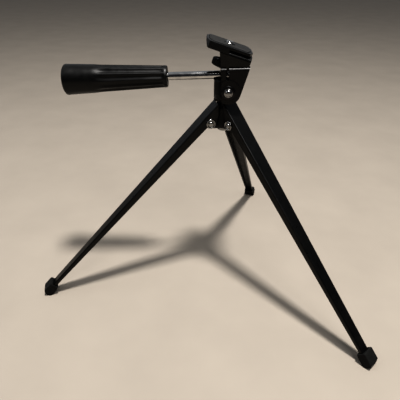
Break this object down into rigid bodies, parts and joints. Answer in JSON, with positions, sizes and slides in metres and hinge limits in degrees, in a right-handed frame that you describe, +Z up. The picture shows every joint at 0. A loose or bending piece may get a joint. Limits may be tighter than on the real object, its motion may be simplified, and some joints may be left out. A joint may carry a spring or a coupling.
{
  "type": "tabletop tripod",
  "caption": "Small folding tabletop tripod with channel legs, a swivelling neck, and a tilting camera plate worked by a straight handle.",
  "frame": {"origin": "middle of the bottom of the bounding box, on the floor the feet stand on", "axes": "+Z up, handle towards -X (its end 2.4 degrees low), tilt axle along Y, near side of the object towards -Y"},
  "size_m": [0.2398, 0.241, 0.1875],
  "materials": {
    "black_paint": "satin black stoving enamel on pressed steel",
    "black_casting": "semi-matt black paint on a casting",
    "rubber": "matt black moulded rubber",
    "plated_steel": "dull nickel plate",
    "chrome": "bright chromium plate",
    "black_plastic": "black moulded plastic, slightly worn",
    "grey_pad": "dark grey grip pad",
    "fibre": "dark pressed fibre"
  },
  "bodies": {
    "hub_body": {"hub": "black_casting", "leg_rivet_1": "plated_steel", "leg_rivet_2": "plated_steel", "leg_rivet_3": "plated_steel"},
    "leg_1": {"leg_channel_1": "black_paint", "leg_boot_1": "rubber"},
    "leg_2": {"leg_channel_2": "black_paint", "leg_boot_2": "rubber"},
    "leg_3": {"leg_channel_3": "black_paint", "leg_boot_3": "rubber"},
    "neck_body": {"neck": "black_casting", "pan_pin": "plated_steel", "pan_washer": "fibre", "tilt_axle": "plated_steel", "cap_washer_near": "black_paint", "cap_washer_far": "black_paint", "tilt_spacer_near": "fibre", "tilt_spacer_far": "fibre"},
    "tilt_head": {"tilt_block": "black_paint", "platform_bracket": "black_paint", "camera_plate": "black_plastic", "plate_pad": "grey_pad"},
    "screw_body": {"camera_screw": "plated_steel", "thumbwheel": "black_plastic", "screw_clip": "plated_steel"},
    "handle_body": {"handle_rod": "chrome", "handle_grip": "black_plastic"}
  },
  "joints": [
    {"name": "leg_1_fold", "type": "hinge", "parent": "hub_body", "child": "leg_1", "pos_m": [0.00757, -0.01936, 0.1312], "axis": [0.2504, -0.9681, 0], "range_deg": [0, 43.4]},
    {"name": "leg_2_fold", "type": "hinge", "parent": "hub_body", "child": "leg_2", "pos_m": [0.02526, -0.02427, 0.1312], "axis": [0.7133, 0.7009, 0], "range_deg": [0, 43.4]},
    {"name": "leg_3_fold", "type": "hinge", "parent": "hub_body", "child": "leg_3", "pos_m": [0.02066, -0.00649, 0.1312], "axis": [-0.9636, 0.2672, 0], "range_deg": [0, 43.4]},
    {"name": "pan_swivel", "type": "hinge", "parent": "hub_body", "child": "neck_body", "pos_m": [0.01783, -0.01671, 0.147], "axis": [0, 0, 1], "continuous": true},
    {"name": "head_tilt", "type": "hinge", "parent": "neck_body", "child": "tilt_head", "pos_m": [0.02013, -0.01671, 0.1543], "axis": [0, 1, 0], "range_deg": [-45, 70]},
    {"name": "camera_screw_turn", "type": "hinge", "parent": "tilt_head", "child": "screw_body", "pos_m": [0.02043, -0.01671, 0.18294], "axis": [0.3024, 0, 0.9532], "continuous": true},
    {"name": "handle_twist", "type": "hinge", "parent": "tilt_head", "child": "handle_body", "pos_m": [0.01976, -0.01671, 0.16309], "axis": [0.9991, 0, 0.0419], "continuous": true}
  ]
}
